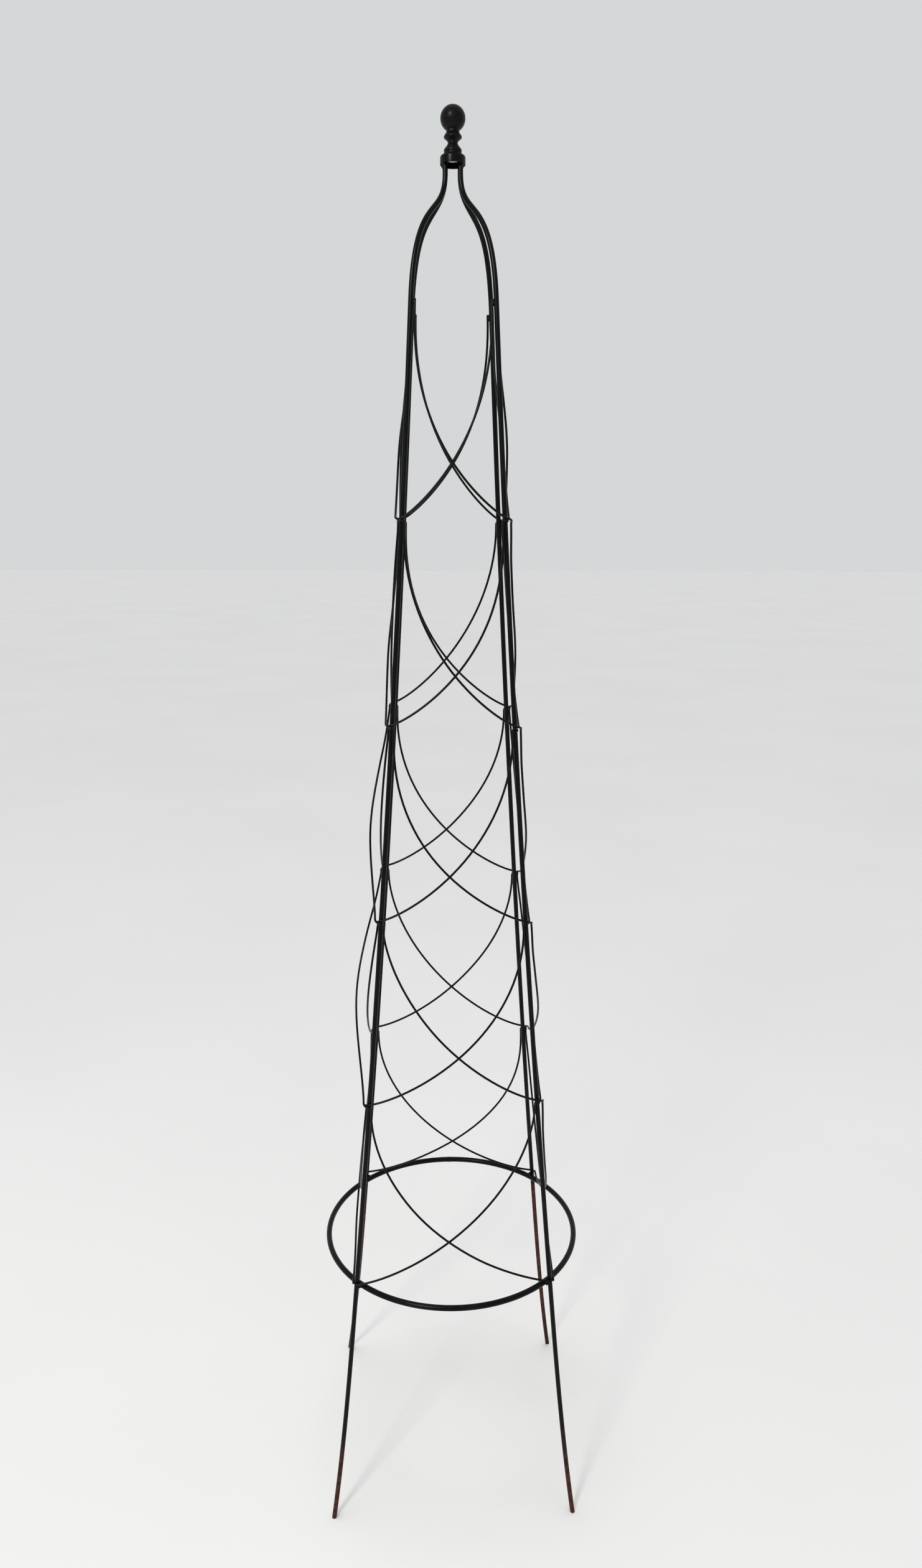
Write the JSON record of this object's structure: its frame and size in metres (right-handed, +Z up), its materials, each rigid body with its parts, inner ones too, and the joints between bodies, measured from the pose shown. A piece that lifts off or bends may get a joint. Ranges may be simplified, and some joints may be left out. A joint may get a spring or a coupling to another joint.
{
  "type": "garden obelisk",
  "caption": "Square tapering garden obelisk of black steel rod, laced with crossing curved wires over a round base ring, with an ogee shoulder, a collar and a ball finial.",
  "frame": {"origin": "On the ground, on the upright axis under the ball finial, at the middle of the square of the four feet.", "axes": "+Z up, -Y towards the viewer and the front face, +X to the viewer's right. The faces of the lattice look along X and Y."},
  "size_m": [0.379, 0.379, 1.8995],
  "materials": {
    "frame_black": "satin black paint over red-brown primer, worn and rusted at the lower leg ends",
    "finial_black": "semi-gloss black paint with a faint brown tinge",
    "zinc": "zinc plated, dull"
  },
  "bodies": {
    "frame": {"leg_front_left": "frame_black", "leg_front_right": "frame_black", "leg_back_right": "frame_black", "leg_back_left": "frame_black", "base_ring": "frame_black", "wire_outer_front_left": "frame_black", "wire_inner_front_left": "frame_black", "wire_outer_front_right": "frame_black", "wire_inner_front_right": "frame_black", "wire_outer_back_right": "frame_black", "wire_inner_back_right": "frame_black", "wire_outer_back_left": "frame_black", "wire_inner_back_left": "frame_black", "collar": "frame_black", "finial_washer": "zinc", "finial_screw": "zinc"},
    "finial": {"ball_finial": "finial_black"}
  },
  "joints": [
    {"name": "finial_screw_turn", "type": "hinge", "parent": "frame", "child": "finial", "pos_m": [0, 0, 1.8428], "axis": [0, 0, 1], "range_deg": [0, 3870]}
  ]
}
